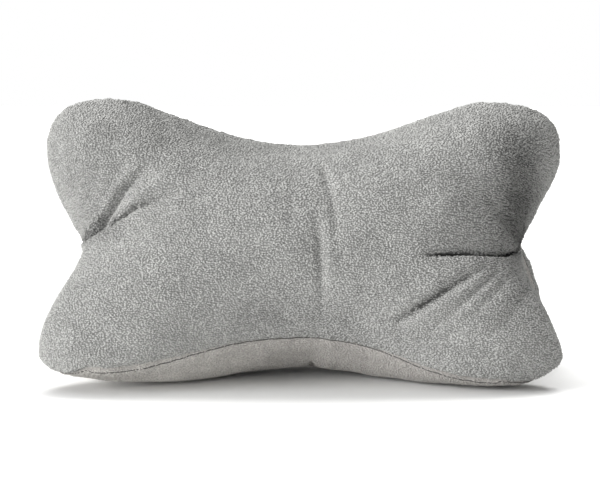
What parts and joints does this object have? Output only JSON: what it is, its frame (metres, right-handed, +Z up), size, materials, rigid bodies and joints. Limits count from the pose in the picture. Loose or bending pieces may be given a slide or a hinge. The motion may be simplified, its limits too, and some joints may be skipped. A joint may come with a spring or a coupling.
{
  "type": "bone-shaped reading pillow",
  "caption": "Bone-shaped grey plush cushion with a narrow waist between lobed ends, which stands by itself and props up a neck or a book.",
  "frame": {"origin": "on the surface the cushion stands on, under the middle of its bounding box", "axes": "+X along the length, to the viewer's right in the picture; -Y is the front, which the picture shows; +Z up"},
  "size_m": [0.4854, 0.2654, 0.2603],
  "materials": {
    "grey_terry": "matt short pile"
  },
  "bodies": {
    "root": {"pillow": "grey_terry"}
  },
  "joints": []
}
